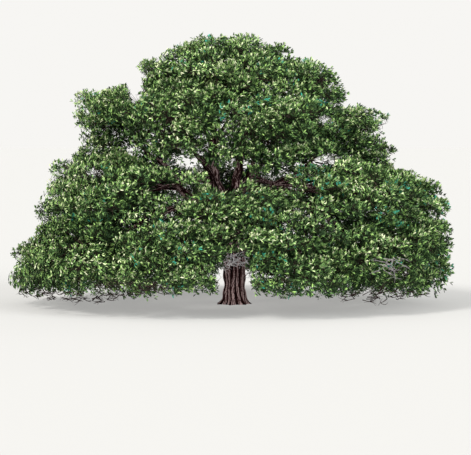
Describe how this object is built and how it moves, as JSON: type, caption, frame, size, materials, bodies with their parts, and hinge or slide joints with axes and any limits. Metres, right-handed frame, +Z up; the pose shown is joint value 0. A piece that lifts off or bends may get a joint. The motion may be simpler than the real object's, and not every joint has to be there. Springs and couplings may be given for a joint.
{
  "type": "oak tree",
  "caption": "Full-grown evergreen oak tree with a short thick trunk, wide arching boughs and a broad domed crown of leafy masses that comes close to the ground.",
  "frame": {"origin": "centre of the flat cut under the trunk, at ground level", "axes": "+Z up along the trunk, +X to the right as seen from the front, +Y away from the front"},
  "size_m": [26.6888, 25.0153, 16.4483],
  "materials": {
    "bark": "deeply furrowed reddish-brown bark",
    "leaves": "small leathery leaves in sprays, mid green with pale yellow-green lights"
  },
  "bodies": {
    "root": {"trunk": "bark", "bough_skirt_1": "bark", "bough_skirt_2": "bark", "bough_skirt_3": "bark", "bough_skirt_4": "bark", "bough_skirt_5": "bark", "bough_skirt_6": "bark", "bough_skirt_7": "bark", "bough_skirt_8": "bark", "bough_skirt_9": "bark", "bough_shoulder_1": "bark", "bough_shoulder_2": "bark", "bough_shoulder_3": "bark", "bough_shoulder_4": "bark", "bough_shoulder_5": "bark", "bough_shoulder_6": "bark", "bough_shoulder_7": "bark", "bough_shoulder_8": "bark", "bough_upper_1": "bark", "bough_upper_2": "bark", "bough_upper_3": "bark", "bough_upper_4": "bark", "bough_upper_5": "bark", "bough_upper_6": "bark", "bough_top_1": "bark", "bough_top_2": "bark", "bough_top_3": "bark", "bough_top_4": "bark", "bough_summit_1": "bark", "bough_summit_2": "bark", "foliage_skirt_1": "leaves", "foliage_skirt_2": "leaves", "foliage_skirt_3": "leaves", "foliage_skirt_4": "leaves", "foliage_skirt_5": "leaves", "foliage_skirt_6": "leaves", "foliage_skirt_7": "leaves", "foliage_skirt_8": "leaves", "foliage_skirt_9": "leaves", "foliage_shoulder_1": "leaves", "foliage_shoulder_2": "leaves", "foliage_shoulder_3": "leaves", "foliage_shoulder_4": "leaves", "foliage_shoulder_5": "leaves", "foliage_shoulder_6": "leaves", "foliage_shoulder_7": "leaves", "foliage_shoulder_8": "leaves", "foliage_upper_1": "leaves", "foliage_upper_2": "leaves", "foliage_upper_3": "leaves", "foliage_upper_4": "leaves", "foliage_upper_5": "leaves", "foliage_upper_6": "leaves", "foliage_top_1": "leaves", "foliage_top_2": "leaves", "foliage_top_3": "leaves", "foliage_top_4": "leaves", "foliage_summit_1": "leaves", "foliage_summit_2": "leaves"}
  },
  "joints": []
}
